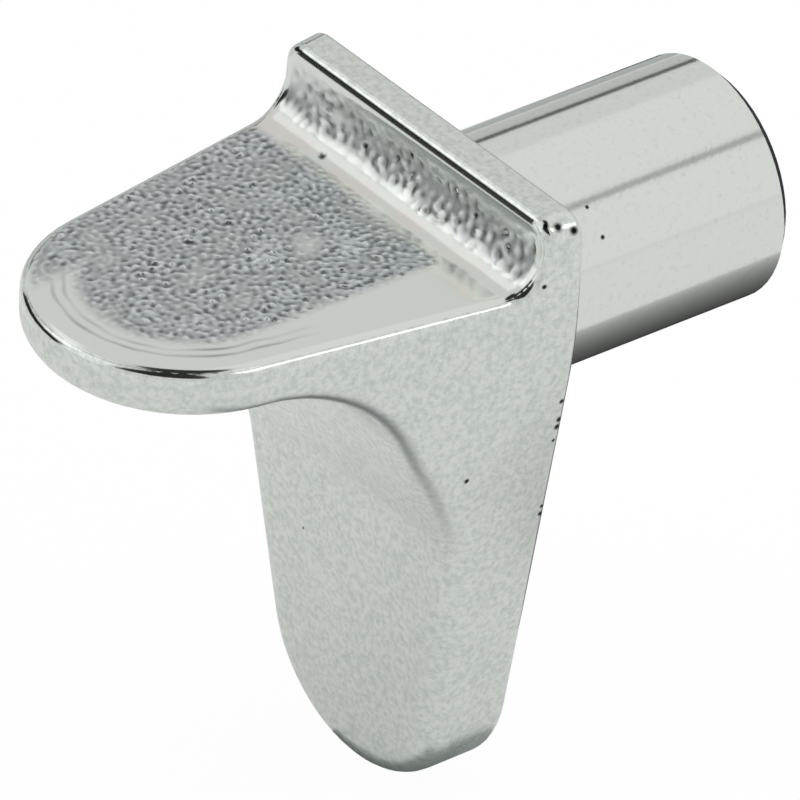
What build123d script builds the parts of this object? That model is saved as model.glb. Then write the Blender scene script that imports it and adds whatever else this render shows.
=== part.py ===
from build123d import *
import os

# Shelf support pin, die-cast in one piece, in millimetres.
# Origin: on the pin's axis, in the plane of the rear face that bears on the cabinet side.
# +Y runs along the pin into the cabinet side, +Z is up, and the seat points to -Y.

# Pin, for a quarter-inch hole
PIN_DIAMETER = 6.25
PIN_LENGTH = 8.4
PIN_END_CHAMFER = 0.3

# Heights over the pin's axis
SEAT_HEIGHT = 2.6
LIP_RISE = 1.85
TONGUE_DROP = 13.4

# Outlines: the seat seen from above, and the tongue seen along the pin
WIDTH = 10.6
SEAT_REACH = 11.65
SEAT_TIP_RADIUS = 3.95
TONGUE_TIP_RADIUS = 3.4

# Walls
SEAT_THICKNESS = 1.45
TONGUE_THICKNESS = 2.7
TONGUE_TIP_THICKNESS = 2.1
LIP_THICKNESS = 1.0

# Gusset: a steep ramp from the seat's underside down to the tongue's front
GUSSET_REACH = 5.5
GUSSET_DROP = 5.95
GUSSET_HEAD_RADIUS = 3.8
GUSSET_FOOT_RADIUS = 3.0

# Blends
LIP_ROOT_RADIUS = 1.05
LIP_CORNER_RADIUS = 0.65
SIDE_BLEND_RADIUS = 8.0
TOP_RIM_RADIUS = 0.25
FRONT_RIM_RADIUS = 0.75
REAR_RIM_RADIUS = 0.12

# Levels that follow from the sizes above
LIP_TOP = SEAT_HEIGHT + LIP_RISE
SEAT_UNDERSIDE = SEAT_HEIGHT - SEAT_THICKNESS
GUSSET_FOOT = SEAT_UNDERSIDE - GUSSET_DROP

# Concave corners of the side profile, as (y, z), and the radius that fills each
PROFILE_BLENDS = (
    ((-LIP_THICKNESS, SEAT_HEIGHT), LIP_ROOT_RADIUS),
    ((-GUSSET_REACH, SEAT_UNDERSIDE), GUSSET_HEAD_RADIUS),
    ((-TONGUE_THICKNESS, GUSSET_FOOT), GUSSET_FOOT_RADIUS),
)


def tongue_outline(root, tip, tip_radius):
    """A full-width root line and a round tip, joined by tangent lines."""
    with BuildSketch() as outline:
        with BuildLine():
            Line((-WIDTH / 2, root), (WIDTH / 2, root))
            CenterArc((0, tip + tip_radius), tip_radius, 0, 360)
        make_hull()
    return outline.sketch


with BuildPart() as shelf_support:
    # Side profile: lip, seat, gusset and tongue as one bent wall, wider than the part
    with BuildSketch(Plane.YZ) as profile:
        with BuildLine():
            Polyline(
                (0, LIP_TOP),
                (-LIP_THICKNESS, LIP_TOP),
                (-LIP_THICKNESS, SEAT_HEIGHT),
                (-SEAT_REACH, SEAT_HEIGHT),
                (-SEAT_REACH, SEAT_UNDERSIDE),
                (-GUSSET_REACH, SEAT_UNDERSIDE),
                (-TONGUE_THICKNESS, GUSSET_FOOT),
                (-TONGUE_TIP_THICKNESS, -TONGUE_DROP),
                (0, -TONGUE_DROP),
                close=True,
            )
        make_face()
        for corner, radius in PROFILE_BLENDS:
            fillet(profile.vertices().sort_by_distance(corner)[0], radius)
    extrude(amount=WIDTH, both=True)

    # Plan outline: the seat's sides close in towards its round tip
    with BuildSketch(Plane.XY.offset(-TONGUE_DROP)):
        add(tongue_outline(0, -SEAT_REACH, SEAT_TIP_RADIUS))
    extrude(amount=TONGUE_DROP + LIP_TOP, mode=Mode.INTERSECT)

    # Front outline: full width down to the seat's underside, then in to the tongue's round tip
    with BuildSketch(Plane.XZ):
        add(tongue_outline(SEAT_UNDERSIDE, -TONGUE_DROP, TONGUE_TIP_RADIUS))
        with Locations((0, SEAT_UNDERSIDE)):
            Rectangle(WIDTH, LIP_TOP - SEAT_UNDERSIDE, align=(Align.CENTER, Align.MIN))
    extrude(amount=SEAT_REACH, mode=Mode.INTERSECT)

    # Each side wall has a shallow crease where its two tapers meet, and the lip a top corner
    for side in (-WIDTH / 2, WIDTH / 2):
        taper_corner = Vertex(side, 0, SEAT_UNDERSIDE)
        meeting = shelf_support.edges().filter_by(lambda edge: edge.distance_to(taper_corner) < 0.01)
        fillet(meeting.sort_by(Axis.Y)[0], SIDE_BLEND_RADIUS)
        fillet(shelf_support.edges().sort_by_distance((side, -LIP_THICKNESS / 2, LIP_TOP))[0], LIP_CORNER_RADIUS)

    # Rims: each blend starts at a tip and follows its edge all the way round
    for start, radius in (
        ((0, -SEAT_REACH, SEAT_HEIGHT), TOP_RIM_RADIUS),
        ((0, -SEAT_REACH, SEAT_UNDERSIDE), FRONT_RIM_RADIUS),
        ((0, 0, -TONGUE_DROP), REAR_RIM_RADIUS),
    ):
        fillet(shelf_support.edges().sort_by_distance(start)[0], radius)

    # Pin, out of the rear face
    with BuildSketch(Plane.XZ):
        Circle(PIN_DIAMETER / 2)
    extrude(amount=-PIN_LENGTH)
    chamfer(shelf_support.edges().sort_by(Axis.Y)[-1], PIN_END_CHAMFER)

shelf_support.part.label = "shelf_support"

os.makedirs("parts", exist_ok=True)
export_step(shelf_support.part, "parts/shelf_support.step")
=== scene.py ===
# %% [markdown]
# # A shelf support pin
# The real object is one piece of die-cast zinc, nickel plated and then tumbled bright: a pin
# that goes into a hole in the cabinet side, a wall that bears on it, a seat that carries the
# shelf, and a tongue that braces the seat from below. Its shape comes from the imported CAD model,
# so this script adds what the model leaves out: the finish, the cast grain, the light and the
# camera.

import math

import bpy
import numpy as np
from mathutils import Matrix, Vector


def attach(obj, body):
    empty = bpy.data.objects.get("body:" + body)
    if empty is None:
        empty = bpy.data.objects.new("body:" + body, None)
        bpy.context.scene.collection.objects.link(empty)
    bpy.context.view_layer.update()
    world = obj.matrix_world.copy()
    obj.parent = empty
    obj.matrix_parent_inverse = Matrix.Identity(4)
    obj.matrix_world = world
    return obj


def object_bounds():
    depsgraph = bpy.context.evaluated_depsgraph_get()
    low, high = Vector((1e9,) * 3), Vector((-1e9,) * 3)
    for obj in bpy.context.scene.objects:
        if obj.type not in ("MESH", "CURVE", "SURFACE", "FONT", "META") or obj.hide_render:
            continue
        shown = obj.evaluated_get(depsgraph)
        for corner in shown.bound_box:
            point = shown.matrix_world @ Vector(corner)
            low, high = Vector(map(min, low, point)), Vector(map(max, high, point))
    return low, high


MM = 0.001

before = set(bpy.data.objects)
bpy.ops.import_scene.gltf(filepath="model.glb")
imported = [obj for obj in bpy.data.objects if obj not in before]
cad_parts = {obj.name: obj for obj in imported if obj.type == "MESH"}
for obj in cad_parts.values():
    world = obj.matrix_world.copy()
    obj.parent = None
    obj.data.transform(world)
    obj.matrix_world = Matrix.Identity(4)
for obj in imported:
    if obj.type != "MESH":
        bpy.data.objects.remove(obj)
cad_low, cad_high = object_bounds()
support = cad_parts["shelf_support"]
print("CAD box, mm:", [round(x / MM, 2) for x in (cad_high - cad_low)])

# %% [markdown]
# ## The camera
# The object's edges look nearly parallel in the picture, so it was taken through a long lens. The
# camera stands where the picture's outline and edges fit best: 30 cm away, turned 51 degrees from
# the front, 33 degrees above the horizon and rolled by 3 degrees. A Track To constraint could aim
# it, but leaves out the roll, so its three axes are worked out.

# %% Camera
PICTURE_SIDE = 800
CAMERA_AZIMUTH = math.radians(50.76)
CAMERA_HEIGHT = math.radians(33.43)
CAMERA_ROLL = math.radians(2.91)
CAMERA_DISTANCE = 300 * MM
PIXELS_PER_MM = 41.58
# The point of the object that the camera looks at, and where the picture's middle lies from it
AIM = Vector((0, -2, -3)) * MM
MIDDLE_RIGHT = 30.8 / PIXELS_PER_MM * MM
MIDDLE_UP = 6.45 / PIXELS_PER_MM * MM
SENSOR = 36
# Nearest and farthest distance that the camera sees, in metres
SEEN_FROM, SEEN_TO = 0.01, 5

back = Vector((
    math.sin(CAMERA_AZIMUTH) * math.cos(CAMERA_HEIGHT),
    -math.cos(CAMERA_AZIMUTH) * math.cos(CAMERA_HEIGHT),
    math.sin(CAMERA_HEIGHT),
))
level = Vector((math.cos(CAMERA_AZIMUTH), math.sin(CAMERA_AZIMUTH), 0))
above = back.cross(level)
picture_right = level * math.cos(CAMERA_ROLL) + above * math.sin(CAMERA_ROLL)
picture_up = back.cross(picture_right)

camera_data = bpy.data.cameras.new("camera")
camera_data.sensor_width = SENSOR
camera_data.lens = SENSOR * CAMERA_DISTANCE / MM * PIXELS_PER_MM / PICTURE_SIDE
camera_data.clip_start = SEEN_FROM
camera_data.clip_end = SEEN_TO
camera_data.dof.use_dof = False
camera = bpy.data.objects.new("camera", camera_data)
bpy.context.scene.collection.objects.link(camera)
place = AIM + back * CAMERA_DISTANCE + picture_right * MIDDLE_RIGHT + picture_up * MIDDLE_UP
turn = Matrix((picture_right, picture_up, back)).transposed().to_4x4()
camera.matrix_world = Matrix.Translation(place) @ turn
bpy.context.scene.camera = camera
print("lens:", round(camera_data.lens), "mm")

# %% [markdown]
# ## Small helpers
# Colours are written as sRGB hex values, which is how a paint chart or a screen gives them, and
# shaders need them linear. A node is added together with its settings and its links.

# %% Helpers for colours and nodes
def linear(hex_colour):
    """Linear RGBA of an sRGB hex colour: divided by 12.92 near black, and above that
    ((c + 0.055) / 1.055) to the power of 2.4."""
    parts = [int(hex_colour[i:i + 2], 16) / 255 for i in (1, 3, 5)]
    return [c / 12.92 if c <= 0.04045 else ((c + 0.055) / 1.055) ** 2.4 for c in parts] + [1.0]


def add_node(tree, kind, inputs=None, **settings):
    """Adds a node: settings are its properties, inputs are plain values or nodes' outputs."""
    made = tree.nodes.new(kind)
    for name, value in settings.items():
        setattr(made, name, value)
    for socket, value in (inputs or {}).items():
        if isinstance(value, bpy.types.NodeSocket):
            tree.links.new(value, made.inputs[socket])
        else:
            made.inputs[socket].default_value = value
    return made


def new_material(name):
    """An empty node material and its tree."""
    material = bpy.data.materials.new(name)
    material.use_nodes = True
    material.node_tree.nodes.clear()
    return material, material.node_tree


print("a mid grey, #808080, is linear", round(linear("#808080")[0], 3))

# %% [markdown]
# ## Nickel over die-cast zinc
# The plating is a neutral silver, and a tumbled casting is never a mirror: rubbing with small
# stones leaves a satin skin. Edges that stand proud are rubbed brightest, such as the seat's rim
# and the lip, and the pin comes smooth out of its die. One metal could have one roughness and look
# like plastic foil, so here it follows from the place on the casting, read from its coordinates.

# %% Places on the casting
# The pin starts at the rear face, y = 0, and its finish blends in this far to each side of it
PIN_BLEND = 0.3 * MM
# The rubbed rim of the seat and the lip start at this height, over this band
RIM_FOOT = 2.25 * MM
RIM_BAND = 0.1 * MM

# Electroplated nickel, tumbled: a neutral silver that shows the tent softly, with bright rims
tumbled_nickel, tree = new_material("tumbled_nickel_plate")
where = add_node(tree, "ShaderNodeTexCoord").outputs["Object"]
axes = add_node(tree, "ShaderNodeSeparateXYZ", {"Vector": where}).outputs
on_pin = add_node(tree, "ShaderNodeMapRange", {
    "Value": axes["Y"], "From Min": -PIN_BLEND, "From Max": PIN_BLEND}).outputs["Result"]
on_rim = add_node(tree, "ShaderNodeMapRange", {
    "Value": axes["Z"], "From Min": RIM_FOOT, "From Max": RIM_FOOT + RIM_BAND}).outputs["Result"]
print("rim from, mm:", RIM_FOOT / MM, "above the pin's axis")

# %% Satin walls, brighter rims and a smooth pin
# The stones' marks are a few hundredths of a millimetre wide, too fine to show at 42 pixels to
# the millimetre, so the mottle is drawn at 0.16 mm
MOTTLE = 0.16 * MM
# The stones are a millimetre or two across, and their scuffs change the gloss at that size
SCUFF = 1.4 * MM
NOISE_ROUGHNESS = 0.6
SATIN_ROUGHNESS, SATIN_SPREAD = 0.30, 0.05
RIM_ROUGHNESS = 0.12
PIN_ROUGHNESS = 0.11
# Noise levels: from glossiest to most scuffed, and from dull to bright on the walls and the pin
SCUFF_LEVELS = (0.3, 0.7)
WALL_LEVELS = (0.32, 0.62)
PIN_LEVELS = (0.0, 0.45)
NICKEL = "#DADFDA"
NICKEL_DULL = "#C4CBC5"

mottle = add_node(tree, "ShaderNodeTexNoise", {
    "Vector": where, "Scale": 1 / MOTTLE, "Detail": 2.0,
    "Roughness": NOISE_ROUGHNESS}).outputs["Fac"]
scuffs = add_node(tree, "ShaderNodeTexNoise", {
    "Vector": where, "Scale": 1 / SCUFF, "Detail": 3.0,
    "Roughness": NOISE_ROUGHNESS}).outputs["Fac"]
satin = add_node(tree, "ShaderNodeMapRange", {
    "Value": scuffs, "From Min": SCUFF_LEVELS[0], "From Max": SCUFF_LEVELS[1],
    "To Min": SATIN_ROUGHNESS - SATIN_SPREAD, "To Max": SATIN_ROUGHNESS + SATIN_SPREAD,
}).outputs["Result"]
satin_or_rim = add_node(tree, "ShaderNodeMix", {
    "Factor": on_rim, "A": satin, "B": RIM_ROUGHNESS}).outputs["Result"]
roughness = add_node(tree, "ShaderNodeMix", {
    "Factor": on_pin, "A": satin_or_rim, "B": PIN_ROUGHNESS}).outputs["Result"]
rubbed_wall, rubbed_pin = (add_node(tree, "ShaderNodeMapRange", {
    "Value": mottle, "From Min": low, "From Max": high}).outputs["Result"]
    for low, high in (WALL_LEVELS, PIN_LEVELS))
rubbed = add_node(tree, "ShaderNodeMix", {
    "Factor": on_pin, "A": rubbed_wall, "B": rubbed_pin}).outputs["Result"]
plating = add_node(tree, "ShaderNodeMix", {
    0: rubbed, 6: linear(NICKEL_DULL), 7: linear(NICKEL)}, data_type="RGBA").outputs[2]
print("roughness, wall, rim, pin:", SATIN_ROUGHNESS, RIM_ROUGHNESS, PIN_ROUGHNESS)

# %% [markdown]
# ## Painted shade line and pores
# A thin grey line of painted shade follows the gusset's turned edge, where the rounded edge
# turns down towards the floor. It could be a groove, but no depth shows, so it is a colour. Its
# distance from the side wall follows from the wall's two tapers, the seat's and the tongue's. Here
# and there a gas pore of the casting lies open as a black dot, and each is a ball of colour round
# a point of the surface.

# %% The painted shade line
# The side walls: half the width at the root, how much they close in for each millimetre, and
# the height where the tongue's taper starts
HALF_WIDTH = 5.3
SEAT_TAPER, TONGUE_TAPER, TONGUE_TAPER_START = 0.168, 0.162, 1.15
TAPER_BLEND = 0.2
# The painted shade line lies this far in from the side wall, fades over its reach, and has this
# colour and share
SHADE_LINE_INSET, SHADE_LINE_REACH = 0.22, 0.19
SHADE_LINE_COLOUR, SHADE_LINE_SHARE = "#5F6668", 0.9
# It fades towards the seat's rim, down the ramp and before the rear edge: the axis, and where on
# it the line is full and where it ends
SHADE_LINE_LIMITS = (("Z", 1.35, 1.75), ("Z", 0.6, -5.0), ("Y", -2.1, -1.8))

beside_seat = add_node(tree, "ShaderNodeMath", {
    0: axes["Y"], 1: SEAT_TAPER, 2: HALF_WIDTH * MM}, operation="MULTIPLY_ADD").outputs[0]
beside_tongue = add_node(tree, "ShaderNodeMath", {
    0: axes["Z"], 1: TONGUE_TAPER, 2: (HALF_WIDTH - TONGUE_TAPER * TONGUE_TAPER_START) * MM},
    operation="MULTIPLY_ADD").outputs[0]
side = add_node(tree, "ShaderNodeMath", {
    0: beside_seat, 1: beside_tongue, 2: TAPER_BLEND * MM}, operation="SMOOTH_MIN").outputs[0]
off_middle = add_node(tree, "ShaderNodeMath", {0: axes["X"]}, operation="ABSOLUTE").outputs[0]
inset = add_node(tree, "ShaderNodeMath", {0: side, 1: off_middle}, operation="SUBTRACT").outputs[0]
from_line = add_node(tree, "ShaderNodeMath", {
    0: inset, 1: SHADE_LINE_INSET * MM}, operation="SUBTRACT").outputs[0]
off_line = add_node(tree, "ShaderNodeMath", {0: from_line}, operation="ABSOLUTE").outputs[0]
shade_line = add_node(tree, "ShaderNodeMapRange", {
    "Value": off_line, "From Min": 0.0, "From Max": SHADE_LINE_REACH * MM,
    "To Min": SHADE_LINE_SHARE, "To Max": 0.0}, interpolation_type="SMOOTHSTEP").outputs["Result"]
for axis, full, end in SHADE_LINE_LIMITS:
    limit = add_node(tree, "ShaderNodeMapRange", {
        "Value": axes[axis], "From Min": full * MM, "From Max": end * MM,
        "To Min": 1.0, "To Max": 0.0}).outputs["Result"]
    shade_line = add_node(tree, "ShaderNodeMath", {0: shade_line, 1: limit}, operation="MULTIPLY").outputs[0]
# Painted shade: the dark line is mixed into the plating along the gusset's edge
plating = add_node(tree, "ShaderNodeMix", {
    0: shade_line, 6: plating, 7: linear(SHADE_LINE_COLOUR)}, data_type="RGBA").outputs[2]
# Prints where the painted shade line lies
print("parting line, mm in from the side wall:", SHADE_LINE_INSET)

# %% Open pores
PORE_COLOUR = "#15181A"
# The share of a pore's radius that is fully black
PORE_CORE = 0.4
# x, y, z and radius in mm: on the side wall, along its rear edge, at the lip's foot and corner,
# on the pin beside it, and a faint one on the tongue
PORES = (
    (4.71, -2.74, -2.26, 0.10),
    (4.98, -0.16, -0.80, 0.10),
    (4.90, -0.13, -1.38, 0.12),
    (4.85, -0.15, -1.60, 0.12),
    (4.78, -0.18, -2.02, 0.07),
    (4.44, -0.13, -4.12, 0.08),
    (4.39, -0.13, -4.36, 0.10),
    (5.13, -1.03, 2.84, 0.09),
    (5.00, -0.60, 4.30, 0.16),
    (5.13, -0.24, 4.14, 0.15),
    (4.86, -0.86, 4.36, 0.10),
    (2.20, 2.61, 2.22, 0.07),
    (2.69, 2.74, 1.58, 0.08),
    (-1.66, -2.53, -7.26, 0.05),
)

holes = []
for px, py, pz, radius in PORES:
    away = add_node(tree, "ShaderNodeVectorMath", {
        0: where, 1: (px * MM, py * MM, pz * MM)}, operation="DISTANCE").outputs["Value"]
    holes.append(add_node(tree, "ShaderNodeMapRange", {
        "Value": away, "From Min": PORE_CORE * radius * MM, "From Max": radius * MM,
        "To Min": 1.0, "To Max": 0.0}).outputs["Result"])
blackened = holes[0]
for hole in holes[1:]:
    blackened = add_node(tree, "ShaderNodeMath", {
        0: blackened, 1: hole}, operation="MAXIMUM").outputs[0]
plating = add_node(tree, "ShaderNodeMix", {
    0: blackened, 6: plating, 7: linear(PORE_COLOUR)}, data_type="RGBA").outputs[2]
print("open pores:", len(PORES))

# %% The casting's metal
# How strongly the mottle dents the surface, on the walls and on the smooth rim and pin
WALL_DENT, SMOOTH_DENT = 0.25, 0.05
DENT_DEPTH = 0.02 * MM

smooth = add_node(tree, "ShaderNodeMath", {0: on_pin, 1: on_rim}, operation="MAXIMUM").outputs[0]
dent = add_node(tree, "ShaderNodeMapRange", {
    "Value": smooth, "To Min": WALL_DENT, "To Max": SMOOTH_DENT}).outputs["Result"]
bump = add_node(tree, "ShaderNodeBump", {
    "Strength": dent, "Distance": DENT_DEPTH, "Height": mottle}).outputs["Normal"]
metal = add_node(tree, "ShaderNodeBsdfPrincipled", {
    "Base Color": plating, "Metallic": 1.0, "Roughness": roughness, "Normal": bump})
add_node(tree, "ShaderNodeOutputMaterial", {"Surface": metal.outputs["BSDF"]})

support.data.materials.clear()
support.data.materials.append(tumbled_nickel)
print("casting:", tumbled_nickel.name, "nodes:", len(tree.nodes))

# %% [markdown]
# ## The cast grain
# The die's face was rough on top of the seat and up the lip, and tumbling did not reach the
# middle of the seat or the inner corner, so the grain of the casting still shows there, while
# the rim round it is rubbed smooth and rolls over gently. A bump map could draw the grain, but
# grain a quarter of a millimetre across catches real highlights and shadows, and the rolled rim
# changes the outline of the reflections. So it is geometry: a thin closed skin that lies on the
# seat and the lip and dives under the rim's rounded edge all the way round.

# %% The seat and lip laid out flat
# Sizes of the casting in mm, as in the CAD model
WIDTH = 10.6
SEAT_HEIGHT = 2.6
SEAT_REACH = 11.65
TIP_RADIUS = 3.95
LIP_THICKNESS = 1.0
LIP_TOP = 4.45
ROOT_RADIUS = 1.05
LIP_CORNER = 0.65

TIP_MIDDLE = TIP_RADIUS - SEAT_REACH
reach_to_tip = math.hypot(WIDTH / 2, TIP_MIDDLE)
side_angle = math.asin(TIP_RADIUS / reach_to_tip) - math.atan2(WIDTH / 2, -TIP_MIDDLE)
SIDE_SLOPE = -math.tan(side_angle)
ROOT_START = SEAT_REACH - LIP_THICKNESS - ROOT_RADIUS
ROOT_END = ROOT_START + ROOT_RADIUS * math.pi / 2
FLAT_TOP = ROOT_END + LIP_TOP - SEAT_HEIGHT - ROOT_RADIUS
print("side slope:", round(SIDE_SLOPE, 4), "unrolled length, mm:", round(FLAT_TOP, 2))


def fold(s):
    """Place and normal, as y, z, ny, nz, at the length s from the tip: straight along the seat,
    round a quarter circle of the root's radius, and straight up the lip."""
    turn = np.clip((s - ROOT_START) / ROOT_RADIUS, 0, math.pi / 2)
    y = -SEAT_REACH + np.minimum(s, ROOT_START) + ROOT_RADIUS * np.sin(turn)
    z = SEAT_HEIGHT + ROOT_RADIUS * (1 - np.cos(turn)) + np.maximum(s - ROOT_END, 0)
    return y, z, -np.sin(turn), np.cos(turn)


def edge_distance(x, s):
    """Distance in from the outline: the smaller of those to the side, the lip's top and the
    tip's circle, with the top corners rounded by a quarter circle."""
    y, _, _, level = fold(s)
    slope = SIDE_SLOPE * level
    side = (WIDTH / 2 + SIDE_SLOPE * y - np.abs(x)) / np.sqrt(1 + slope ** 2)
    top = FLAT_TOP - s
    corner = LIP_CORNER - np.hypot(
        np.maximum(LIP_CORNER - side, 0), np.maximum(LIP_CORNER - top, 0))
    straight = np.where((side < LIP_CORNER) & (top < LIP_CORNER), corner, np.minimum(side, top))
    ahead = TIP_RADIUS - s
    at_tip = ahead > np.abs(x) * SIDE_SLOPE
    return np.where(at_tip, TIP_RADIUS - np.hypot(x, ahead), straight)


# %% [markdown]
# The skin's points lie on rays from a middle point out to the outline and back underneath, so its
# rows follow the outline and are finest at the rim. Each ray's length is found by halving: if its
# half-way point is still inside, the outline is farther out, otherwise it is nearer.

# %% A grid of rays
RAYS = 660
ROWS = 138
UNDER_ROWS = 9
# The last rows on top are closer together, over this share of a ray
FINE_ROWS, FINE_SHARE = 16, 0.075
# How far in from the outline the skin ends, and the middle's length from the tip
SKIN_INSET = 0.11
MIDDLE = 6.3
# No part of the outline is farther from the middle than this
FARTHEST = 9.0
HALVINGS = 40

turns = np.linspace(0, 2 * math.pi, RAYS, endpoint=False)
near, far = np.zeros(RAYS), np.full(RAYS, FARTHEST)
for _ in range(HALVINGS):
    half_way = (near + far) / 2
    inside = edge_distance(
        half_way * np.cos(turns), MIDDLE + half_way * np.sin(turns)) > SKIN_INSET
    near, far = np.where(inside, half_way, near), np.where(inside, far, half_way)

fine_rows = 1 - np.linspace(FINE_SHARE, 0, FINE_ROWS)
plain_rows = np.linspace(0, fine_rows[0], ROWS - FINE_ROWS + 2)[1:]
way_back = np.linspace(1, 0, UNDER_ROWS + 2)[1:-1]
share = np.concatenate([plain_rows, fine_rows[1:], way_back])
x = (share[:, None] * (near * np.cos(turns))[None, :]).ravel()
s = (MIDDLE + share[:, None] * (near * np.sin(turns))[None, :]).ravel()
# The last two points are the poles, on top and underneath
x, s = np.append(x, [0.0, 0.0]), np.append(s, [MIDDLE, MIDDLE])
underneath = np.append(np.repeat(np.arange(len(share)) >= ROWS, RAYS), [False, True])
d = edge_distance(x, s)
print("skin points:", len(x), "rows:", len(share), "least inset, mm:", round(d.min(), 3))

# %% [markdown]
# Cast grain is random but has a size. Noise of one size is white noise whose waves are weighted
# by a bell curve round that wavelength. The real grain is beads and pits on calmer ground, and
# plain noise would look like a labyrinth, so its field is multiplied by the root of its own size.

# %% Random fields on the skin
rng = np.random.default_rng(41)
# A square lattice of points, in mm, and how far it reaches beyond x = 0 and s = 0
LATTICE, LATTICE_SIDE = 0.03, 480
LATTICE_X, LATTICE_S = 6.5, 0.5


def grain_field(size, spread):
    """Random relief with features of one size in mm: white noise, with each wave weighted by e to
    the power of -((size / wavelength - 1) / spread) squared, scaled to a spread of 1, and read
    between lattice points in proportion to the distances."""
    noise = rng.standard_normal((LATTICE_SIDE, LATTICE_SIDE))
    wave = np.fft.fftfreq(LATTICE_SIDE, LATTICE)
    cycles = np.hypot(wave[:, None], wave[None, :])
    weight = np.exp(-((cycles * size - 1) / spread) ** 2)
    field = np.fft.ifft2(np.fft.fft2(noise) * weight).real
    field /= field.std()
    column, row = (x + LATTICE_X) / LATTICE, (s + LATTICE_S) / LATTICE
    i, j = row.astype(int), column.astype(int)
    a, b = row - i, column - j
    return ((1 - a) * (1 - b) * field[i, j] + a * (1 - b) * field[i + 1, j]
            + (1 - a) * b * field[i, j + 1] + a * b * field[i + 1, j + 1])


def beaded(field):
    """The field times the root of its own size, scaled back to a spread of 1."""
    field = field * np.sqrt(np.abs(field))
    return field / field.std()


# Size in mm, as in the picture, and how widely it varies: grain of the seat, slow patches in it,
# ripples of the smooth rim, nodules, and the pits of the lip
grain = beaded(grain_field(0.26, 0.6))
patches = grain_field(1.8, 0.6)
ripples = grain_field(1.1, 0.5)
nodules = grain_field(0.62, 0.35)
pits = beaded(grain_field(0.36, 0.45))
print("tallest grain, in spreads:", round(grain.max(), 1))

# %% [markdown]
# On the seat the grain reaches from the left rim to about 2 mm from the right rim and the tip, and
# stops before the polished band at the root. It starts again up the lip. The places could be
# painted by hand as vertex colours, but a few soft steps over x, s and d say the same in numbers.

# %% Where the grain shows
# Each pair is where a soft step starts and where it ends, in mm
RIGHT_END = (2.3, 3.1)
LEFT_START = (-2.4, -1.6)
TIP_START = (1.1, 1.6)
SEAT_RIM = (0.18, 0.4)
ROOT_BAND = (9.2, 9.6)
LIP_START = (10.15, 10.5)
LIP_RIM = (0.30, 0.45)
CORNER_TOP = (11.2, 11.7)
# How much the slow patches thin the grain or fill it, and the lip's own share
PATCHY = 0.2
LIP_SHARE = 0.85


def ease(value, low, high):
    """0 below low, 1 above high, and a smooth S between: 3t squared less 2t cubed."""
    t = np.clip((value - low) / (high - low), 0, 1)
    return t * t * (3 - 2 * t)


def fall(value, low, high):
    """1 below low and 0 above high: what ease leaves of 1."""
    return 1 - ease(value, low, high)


tip_inset = TIP_RADIUS - np.hypot(x, np.minimum(s - TIP_RADIUS, 0))
right_part = np.where(x > 0, fall(x, *RIGHT_END), 1)
tip_or_left = np.maximum(ease(tip_inset, *TIP_START), fall(x, *LEFT_START))
on_seat = np.minimum(right_part, tip_or_left) * ease(d, *SEAT_RIM) * fall(s, *ROOT_BAND)
on_seat = np.clip(on_seat * (1 + PATCHY * patches), 0, 1)
on_lip = ease(s, *LIP_START) * ease(d, *LIP_RIM)
on_lip = np.clip(on_lip * (LIP_SHARE + PATCHY * patches), 0, 1)
in_corner = fall(s, *CORNER_TOP)
print("grained share:", round(np.maximum(on_seat, on_lip).mean(), 2))

# %% [markdown]
# The real rim rolls over softly, because the stones wear an edge round from both sides. A Bevel
# modifier could round it, but the rows already follow the rim, so two arcs are worked out along
# them: a wide one that only tips the reflections, and a tighter one that dives under the
# casting's edge. Along the tip run two fine lines that the die's insert left, and a few pores lie
# open at the root and up the lip.

# %% The rolled rim
ROLL_START, ROLL_RADIUS = 0.45, 1.1
DIVE_START, DIVE_RADIUS = 0.30, 0.40
# The sine of the slope stops here, short of upright
STEEPEST = 0.98

roll = -np.maximum(ROLL_START - np.maximum(d, DIVE_START), 0) ** 2 / (2 * ROLL_RADIUS)
start_sine = (ROLL_START - DIVE_START) / ROLL_RADIUS
sine = np.clip(start_sine + np.maximum(DIVE_START - d, 0) / DIVE_RADIUS, 0, STEEPEST)
dive = DIVE_RADIUS * (np.sqrt(1 - sine ** 2) - math.sqrt(1 - start_sine ** 2))
print("the rim goes down by, mm:", round(-(roll + dive).min(), 3))

# %% Flow lines and open pores
# The lines' distances in from the outline, how far they waver, how wide they are, and the soft
# steps at which they end over s and start over x
LINE_INSETS = (0.74, 1.02)
LINE_WAVER, LINE_WIDTH = 0.01, 0.045
LINE_END, LINE_START = (4.2, 5.6), (-2.6, -1.4)
# Open pores, as x, s and radius: one at the root, the others up the lip
SKIN_PORES = (
    (-2.57, 9.93, 0.12),
    (-1.70, 10.78, 0.11),
    (-0.54, 11.04, 0.10),
    (-0.06, 11.38, 0.10),
    (1.69, 11.31, 0.11),
    (2.48, 11.03, 0.10),
    (3.62, 11.16, 0.12),
    (3.79, 10.88, 0.10),
)
SKIN_PORE_CORE = 0.35

tip_side = fall(s, *LINE_END) * ease(x, *LINE_START)
flow_lines = tip_side * sum(
    np.exp(-((d - inset - LINE_WAVER * ripples) / LINE_WIDTH) ** 2) for inset in LINE_INSETS)
pore = np.zeros(len(x))
for pore_x, pore_s, radius in SKIN_PORES:
    away = np.hypot(x - pore_x, s - pore_s)
    pore = np.maximum(pore, fall(away, SKIN_PORE_CORE * radius, radius))
print("pores of the skin:", len(SKIN_PORES))

# %% Relief of the skin
# The skin lies this far over the casting. It dips under it at the rim and at about a hundred
# points, most of them in the seat's deepest pits and some in four of the lip's pores, where the
# casting's own face shows.
LIFT = 0.0433
GRAIN_RELIEF, PIT_RELIEF, RIPPLE_RELIEF = 0.0095, 0.012, 0.0016
# Nodules stand out only where their field is beyond this many spreads
NODULE_START, NODULE_RELIEF = 1.9, 0.010
LINE_DEPTH, PORE_DEPTH = 0.009, 0.035
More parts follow.
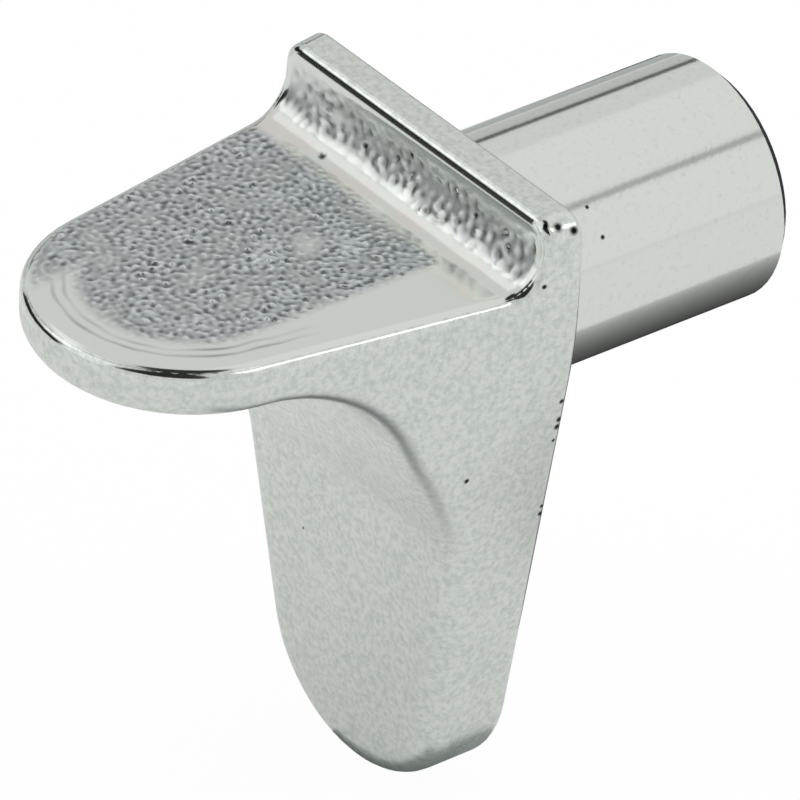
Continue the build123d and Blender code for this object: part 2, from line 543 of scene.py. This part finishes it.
# How much the slow patches raise or flatten the grain
PATCHY_RELIEF = 0.15
# Share of the pits' relief on the upper lip, where its inner corner has all of it
UPPER_LIP_SHARE = 0.3
# The smooth part ripples only from this far in from the rim
RIPPLE_START = (0.5, 0.9)
# The underside lies inside the casting and closes the skin to a thin solid
UNDERSIDE = -0.12

heavy = np.sign(nodules) * np.maximum(np.abs(nodules) - NODULE_START, 0)
rough_relief = on_seat * (1 + PATCHY_RELIEF * patches) * (
    GRAIN_RELIEF * grain + NODULE_RELIEF * heavy)
lip_share = UPPER_LIP_SHARE + (1 - UPPER_LIP_SHARE) * in_corner
rough_relief += on_lip * lip_share * PIT_RELIEF * pits
smooth_share = (1 - np.maximum(on_seat, on_lip)) * ease(d, *RIPPLE_START)
smooth_relief = smooth_share * RIPPLE_RELIEF * ripples - LINE_DEPTH * flow_lines
top_relief = LIFT + roll + dive + rough_relief + smooth_relief - PORE_DEPTH * pore
relief = np.where(underneath, UNDERSIDE, top_relief)
print("relief, mm:", round(relief.min(), 3), "to", round(relief.max(), 3))

# %% [markdown]
# ## The skin's colour and gloss
# Low spots of the grain are darker: partly dirt and tarnish held there, partly painted shade in
# the hollows. High ones are rubbed pale. The gloss falls from the rubbed rim to the raw corner of
# the lip. Both are worked out for each point and stored on it, because the grain's own relief
# decides them and a texture would not line up with it.

# %% Colour, point by point
# The grain's dark is partly dirt and tarnish, partly painted shade in its hollows; its pale is
# rubbed high spots
HOLLOW_DIRT_AND_SHADE, CAST_PALE = "#6A7072", "#D3D8D8"
BLOOM = "#DDDAD4"
LINE_COLOUR, LINE_SHARE = "#8F918F", 0.7
# Before the root the plating is thin and has a faint warm bloom, which comes and goes over s
BLOOM_START, BLOOM_END = (8.7, 9.2), (9.9, 10.3)
# A middle level and how much the slow patches change it, for the bloom and the lines
BLOOM_LEVEL, BLOOM_PATCHY = 0.7, 0.3
LINE_LEVEL, LINE_PATCHY = 0.7, 0.4
# The middle tone of the grain and of the pits, from dark, 0, to pale, 1, and what moves it
GRAIN_TONE, BY_GRAIN, BY_PATCHES, BY_NODULES = 0.5, 0.3, 0.1, 0.2
PIT_TONE, BY_PITS = 0.7, 0.35
# How much of the pits' tones shows on the upper lip, and how much more in its corner
PIT_SHARE, PIT_SHARE_CORNER = 0.15, 0.6

plate, dark, pale, bloom, line, black = (
    np.array(linear(c)) for c in (NICKEL, HOLLOW_DIRT_AND_SHADE, CAST_PALE, BLOOM, LINE_COLOUR, PORE_COLOUR))


def mix(first, second, share):
    """Colours of all points: the first, plus the share of the way to the second."""
    return first + (second - first) * share[:, None]


bloomed = ease(s, *BLOOM_START) * fall(s, *BLOOM_END) * (
    BLOOM_LEVEL + BLOOM_PATCHY * np.clip(patches, -1, 1))
skin_colour = mix(plate, bloom, np.clip(bloomed, 0, 1))
drawn = LINE_SHARE * flow_lines * (LINE_LEVEL + LINE_PATCHY * patches)
skin_colour = mix(skin_colour, line, np.clip(drawn, 0, 1))
# Low grain gets the dark colour: partly dirt, partly painted shade in the hollows
tone = GRAIN_TONE + BY_GRAIN * grain + BY_PATCHES * patches + BY_NODULES * heavy
skin_colour = mix(skin_colour, mix(dark, pale, np.clip(tone, 0, 1)), on_seat)
# The lip's pits likewise: their low spots are partly dirt, partly painted shade
pit_tones = mix(dark, pale, np.clip(PIT_TONE + BY_PITS * pits, 0, 1))
skin_colour = mix(skin_colour, pit_tones, on_lip * (PIT_SHARE + PIT_SHARE_CORNER * in_corner))
skin_colour = mix(skin_colour, black, pore)
print("mean colour, linear:", skin_colour.mean(axis=0)[:3].round(2))

# %% Roughness, point by point
SMOOTH_PART, GRAINED_SEAT, LIP_FRONT, INNER_CORNER = 0.14, 0.26, 0.31, 0.42
RUBBED_RIM, ROUGH_CORNER = (0.3, 0.5), (11.1, 11.5)
# The lip's own rim is rubbed less than the seat's, from these lengths on
LIP_RIM_LOSS, LIP_FOOT = 0.6, (10.2, 10.5)

rim_share = fall(d, *RUBBED_RIM) * (1 - LIP_RIM_LOSS * ease(s, *LIP_FOOT))
skin_roughness = SMOOTH_PART + (RIM_ROUGHNESS - SMOOTH_PART) * rim_share
skin_roughness += (GRAINED_SEAT - skin_roughness) * on_seat
lip_roughness = LIP_FRONT + (INNER_CORNER - LIP_FRONT) * fall(s, *ROUGH_CORNER)
skin_roughness += (lip_roughness - skin_roughness) * on_lip
print("mean roughness:", round(skin_roughness.mean(), 3))

# %% [markdown]
# The points become a mesh: a four-sided face between each two rows and two rays, and a fan of
# triangles round each pole. Open at its rim the skin would look the same, but an exported mesh is
# more use closed, so the rows went on underneath. It rides on the casting and never moves on it.

# %% The skin's mesh
y, z, ny, nz = fold(s)
points = np.stack([x, y + relief * ny, z + relief * nz], axis=1) * MM
top_pole, bottom_pole = len(x) - 2, len(x) - 1
index = np.arange(top_pole).reshape(-1, RAYS)
inner, outer = index[:-1], index[1:]
quads = np.stack(
    [inner, outer, np.roll(outer, -1, 1), np.roll(inner, -1, 1)], axis=2).reshape(-1, 4)
top_fan = np.stack([np.full(RAYS, top_pole), index[0], np.roll(index[0], -1)], axis=1)
bottom_fan = np.stack([np.full(RAYS, bottom_pole), np.roll(index[-1], -1), index[-1]], axis=1)
faces = quads.tolist() + top_fan.tolist() + bottom_fan.tolist()

skin_mesh = bpy.data.meshes.new("cast_grain")
skin_mesh.from_pydata(points.tolist(), [], faces)
skin_mesh.polygons.foreach_set("use_smooth", np.ones(len(skin_mesh.polygons), bool))
layer = skin_mesh.attributes.new("plate_colour", "FLOAT_COLOR", "POINT")
layer.data.foreach_set("color", skin_colour.astype(np.float32).ravel())
layer = skin_mesh.attributes.new("plate_roughness", "FLOAT", "POINT")
layer.data.foreach_set("value", skin_roughness.astype(np.float32))
skin = bpy.data.objects.new("cast_grain", skin_mesh)
bpy.context.scene.collection.objects.link(skin)
skin_mesh.update()
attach(skin, "root")
# On a closed mesh without holes the points less the edges plus the faces make 2
closed = len(points) - len(skin_mesh.edges) + len(faces) == 2
upward = skin_mesh.polygons[0].normal.z > 0
print("skin faces:", len(faces), "closed:", closed, "first face upward:", upward)

# %% The skin's metal
# Nickel plate over the raw cast face: bright beads and dark hollows that sparkle, on silver. The
# hollows' dark is stored colour, partly dirt and tarnish and partly painted shade
cast_nickel, tree = new_material("as_cast_nickel_plate")
colour = add_node(tree, "ShaderNodeAttribute", attribute_name="plate_colour").outputs["Color"]
roughness = add_node(
    tree, "ShaderNodeAttribute", attribute_name="plate_roughness").outputs["Fac"]
metal = add_node(tree, "ShaderNodeBsdfPrincipled", {
    "Base Color": colour, "Metallic": 1.0, "Roughness": roughness})
add_node(tree, "ShaderNodeOutputMaterial", {"Surface": metal.outputs["BSDF"]})
skin_mesh.materials.append(cast_nickel)
print("skin:", cast_nickel.name)

# %% [markdown]
# ## Floor, cards and tent
# Small bright hardware is photographed in a tent of white cloth, on white paper. Metal has no
# look of its own, it shows what stands round it: the cloth is its silver, and the gaps between
# the cloth's panels are the thin dark lines along its edges. With lamps alone it would be a few
# bright spots on black, so the tent is the main light.

# %% Floor
FLOOR_SIDE = 1.2
# The floor lies a hair below the tongue, so that the two do not share a plane
FLOOR_GAP = 0.02 * MM
FLOOR_HEIGHT = cad_low.z - FLOOR_GAP
PAPER = "#EDEDED"
# Camera rays see the paper almost plain white, and the metal sees it partly so
PLAIN_TO_CAMERA, PLAIN_TO_METAL = 0.97, 0.6
WHITE, WHITE_IN_METAL = 1.0, 0.88


def add_sheet(name, corner, opposite, height):
    """A flat rectangle between two corners, at one height."""
    (x0, y0), (x1, y1) = corner, opposite
    mesh = bpy.data.meshes.new(name)
    corners = [(x0, y0, height), (x1, y0, height), (x1, y1, height), (x0, y1, height)]
    mesh.from_pydata(corners, [], [(0, 1, 2, 3)])
    made = bpy.data.objects.new(name, mesh)
    bpy.context.scene.collection.objects.link(made)
    return made


half = FLOOR_SIDE / 2
floor = add_sheet("floor", (-half, -half), (half, half), FLOOR_HEIGHT)

# Matt white paper: a plain ground that keeps the object's shadow
paper, tree = new_material("white_paper")
rays = add_node(tree, "ShaderNodeLightPath").outputs
lit = add_node(tree, "ShaderNodeBsdfDiffuse", {"Color": linear(PAPER)})
glow = add_node(tree, "ShaderNodeMapRange", {
    "Value": rays["Is Camera Ray"], "To Min": WHITE_IN_METAL, "To Max": WHITE}).outputs["Result"]
bright = add_node(tree, "ShaderNodeEmission", {"Color": (1, 1, 1, 1), "Strength": glow})
camera_share = add_node(tree, "ShaderNodeMath", {
    0: rays["Is Camera Ray"], 1: PLAIN_TO_CAMERA}, operation="MULTIPLY").outputs[0]
plain_share = add_node(tree, "ShaderNodeMath", {
    0: rays["Is Glossy Ray"], 1: PLAIN_TO_METAL, 2: camera_share},
    operation="MULTIPLY_ADD").outputs[0]
mixed = add_node(tree, "ShaderNodeMixShader", {
    0: plain_share, 1: lit.outputs[0], 2: bright.outputs[0]})
add_node(tree, "ShaderNodeOutputMaterial", {"Surface": mixed.outputs[0]})
floor.data.materials.append(paper)
print("floor, mm below the tongue:", round((cad_low.z - FLOOR_HEIGHT) / MM, 3))

# %% [markdown]
# Cards round a bright object give its round parts a dark side. In a studio they stand out of the
# picture. Here they lie on the floor, and only the metal sees them, so the floor stays white. Two
# of them are painted shadow: the graded one behind the pin stands for the object's own shadow on
# the floor, and the grey one at the tongue's foot for its contact shadow.

# %% Cards on the floor
CARD_HEIGHT = FLOOR_HEIGHT + 0.2 * MM
# The painted shadow card's grey: the pale level times e to the power of the way past the pale end,
# in fade lengths, so that the pin darkens towards its underside as over the object's own shadow
PALE_END, PALE_LEVEL, FADE = 9.2 * MM, 0.52, 6.5 * MM


def add_card(name, corner, opposite, material):
    """A card that only the metal shows, with corners in metres: the camera does not see it, and
    it neither throws a shadow nor lights the floor."""
    card = add_sheet(name, corner, opposite, CARD_HEIGHT)
    card.visible_camera = False
    card.visible_shadow = False
    card.visible_diffuse = False
    card.data.materials.append(material)


# Painted shadow: a matt card that runs from pale to dark, standing for the object's shadow on the
# floor, which gives a soft shade round the pin's underside
painted_shadow_material, tree = new_material("painted_floor_shadow")
spot = add_node(tree, "ShaderNodeTexCoord").outputs["Object"]
across = add_node(tree, "ShaderNodeSeparateXYZ", {"Vector": spot}).outputs["X"]
steps = add_node(tree, "ShaderNodeMath", {
    0: across, 1: 1 / FADE, 2: -PALE_END / FADE}, operation="MULTIPLY_ADD").outputs[0]
fade = add_node(tree, "ShaderNodeMath", {0: steps}, operation="EXPONENT").outputs[0]
grey = add_node(tree, "ShaderNodeMath", {
    0: fade, 1: PALE_LEVEL}, operation="MULTIPLY", use_clamp=True).outputs[0]
cloth = add_node(tree, "ShaderNodeBsdfDiffuse", {"Color": grey})
add_node(tree, "ShaderNodeOutputMaterial", {"Surface": cloth.outputs[0]})
add_card("painted_floor_shadow", (-0.020, 0.006), (0.010, 0.024), painted_shadow_material)
print("card: painted_floor_shadow")

# %% Plain cards
# Dull black velvet, which polished metal shows as a dark line, and matt grey paper, which it shows
# as a half tone
plain_cards = {}
for name, card_colour in (("black_velvet", "#33383A"), ("grey_paper", "#B4B9B8")):
    plain_cards[name], tree = new_material(name)
    cloth = add_node(tree, "ShaderNodeBsdfDiffuse", {"Color": linear(card_colour)})
    add_node(tree, "ShaderNodeOutputMaterial", {"Surface": cloth.outputs[0]})
print("card materials:", list(plain_cards))

# %% Where the plain cards lie
# The chamfer at the pin's end shows the black card as a thin dark ring, the pin's upper edge shows
# the far grey one, and the tongue's bottom edge the one at its foot, which is painted contact
# shadow
for name, corner, opposite, material_name in (
    ("end_card", (-0.035, 0.025), (-0.004, 0.060), "black_velvet"),
    ("far_card", (-0.200, 0.010), (-0.036, 0.200), "grey_paper"),
    ("painted_contact_shadow", (-0.0010, -0.0024), (0.0034, 0.001), "grey_paper"),
):
    add_card(name, corner, opposite, plain_cards[material_name])
    print("card:", name)

# %% [markdown]
# The tent is painted on the world as panels and gaps, each between two compass directions and two
# heights. Sheets of mesh could be the tent as well, but two edges are harder to place than a pair
# of angles. A gap's place follows from the line that it makes: a line of sight is mirrored at the
# dark line on the metal, and where it goes is where the gap has to be.

# %% World: directions round the object
# Each direction as degrees round from the front towards the right, and degrees over the horizon
world = bpy.data.worlds.new("tent")
bpy.context.scene.world = world
world.use_nodes = True
tree = world.node_tree
tree.nodes.clear()
rays = add_node(tree, "ShaderNodeLightPath").outputs
direction = add_node(tree, "ShaderNodeTexCoord").outputs["Generated"]
axes = add_node(tree, "ShaderNodeSeparateXYZ", {"Vector": direction}).outputs
front = add_node(tree, "ShaderNodeMath", {0: axes["Y"], 1: -1.0}, operation="MULTIPLY").outputs[0]
turned = add_node(tree, "ShaderNodeMath", {0: axes["X"], 1: front}, operation="ARCTAN2")
raised = add_node(tree, "ShaderNodeMath", {0: axes["Z"]}, operation="ARCSINE")
azimuth, height = (
    add_node(tree, "ShaderNodeMath", {0: angle.outputs[0]}, operation="DEGREES").outputs[0]
    for angle in (turned, raised))
print("world:", world.name)

# %% World: panels and gaps of the tent
CLOTH = 0.80
# From and to in degrees round, from and to in degrees of height, how soft the edges are, and the
# level, where 1 is white paper. Later rows lie over earlier ones.
PATCHES = (
    (-150, -98, -5, 14, 2, 0.62),  # grey panel: the band along the pin's upper edge
    (-150, -105, 14.6, 18.8, 1.1, 0.1),  # gap: the pin's dark line
    (98, 180, -10, 75, 3, 0.9),  # pale panel: the pin's side
    (-180, -138, 42, 75, 3, 0.9),  # pale panel: the pin's top
    (-85, -38, -5, 20, 3, 0.02),  # gap: the lip's edge, and the first dash on the seat's rim
    (5, 68, 31, 95, 3, 0.03),  # opening round the camera: the second dash on the rim
    (-180, 180, 77, 95, 2, 0.03),  # opening in the roof: dark flecks in the seat's grain
    (-31, -4, 5, 56, 3, 1.1),  # bright panel: between the dashes, and on the lip's front
    (-95, -60, 46, 55, 3, 1.05),  # bright panel: highlight in the seat's root
    (-62, -35, 29, 48, 4, 1.4),  # bright panel: the root's upper half and the lip's top
    (115, 165, 42.3, 45.2, 0.8, 0.45),  # seam: the pin's faint second line
)


def within(value, low, high, soft):
    """1 where a value lies from low to high, falling to 0 over soft on each side: a smooth rise
    times a smooth fall."""
    rise = add_node(tree, "ShaderNodeMapRange", {
        "Value": value, "From Min": low - soft, "From Max": low},
        interpolation_type="SMOOTHSTEP").outputs[0]
    drop = add_node(tree, "ShaderNodeMapRange", {
        "Value": value, "From Min": high, "From Max": high + soft, "To Min": 1.0, "To Max": 0.0},
        interpolation_type="SMOOTHSTEP").outputs[0]
    return add_node(tree, "ShaderNodeMath", {0: rise, 1: drop}, operation="MULTIPLY").outputs[0]


light_level = CLOTH
for from_azimuth, to_azimuth, from_height, to_height, soft, strength in PATCHES:
    across = within(azimuth, from_azimuth, to_azimuth, soft)
    upright = within(height, from_height, to_height, soft)
    patch = add_node(tree, "ShaderNodeMath", {0: across, 1: upright}, operation="MULTIPLY")
    light_level = add_node(tree, "ShaderNodeMix", {
        "Factor": patch.outputs[0], "A": light_level, "B": strength}).outputs["Result"]
seen = add_node(tree, "ShaderNodeMix", {
    "Factor": rays["Is Camera Ray"], "A": light_level, "B": WHITE}).outputs[0]
backdrop = add_node(tree, "ShaderNodeBackground", {"Color": (1, 1, 1, 1), "Strength": seen})
add_node(tree, "ShaderNodeOutputWorld", {"Surface": backdrop.outputs[0]})
print("panels and gaps:", len(PATCHES))

# %% [markdown]
# Two soft lamps add to the tent's light. A point or a sun lamp would throw a hard shadow, so both
# are squares. The key lamp stands high on the right and shows in the metal too. The one above
# lights only the paper and the cards. The metal leaves it out, because there it would be a hard
# white square.

# %% Lamps
def add_lamp(name, azimuth, height, distance, side, power, in_metal=True):
    """A square soft lamp at a distance from the origin, facing it. Its direction is sine of the
    azimuth times cosine of the height to the right, cosine times cosine to the front, and sine of
    the height up. The metal shows it or not."""
    data = bpy.data.lights.new(name, "AREA")
    data.shape = "SQUARE"
    data.size = side
    data.energy = power
    lamp = bpy.data.objects.new(name, data)
    bpy.context.scene.collection.objects.link(lamp)
    a, h = math.radians(azimuth), math.radians(height)
    out = Vector((math.sin(a) * math.cos(h), -math.cos(a) * math.cos(h), math.sin(h)))
    facing = out.to_track_quat("Z", "Y").to_matrix().to_4x4()
    lamp.matrix_world = Matrix.Translation(out * distance) @ facing
    lamp.visible_glossy = in_metal
    print("lamp:", name, power, "W")


add_lamp("key", azimuth=110, height=50, distance=0.4, side=0.12, power=0.06)
add_lamp("roof", azimuth=50, height=86, distance=0.5, side=0.3, power=0.9, in_metal=False)

# %% [markdown]
# ## Level
# The light is set so that a colour comes out about as it is written, so the picture needs no
# other view transform than Standard. Detail may not make the object larger.

# %% Plain light settings
bpy.context.scene.view_settings.view_transform = "Standard"
print("view transform:", bpy.context.scene.view_settings.view_transform)
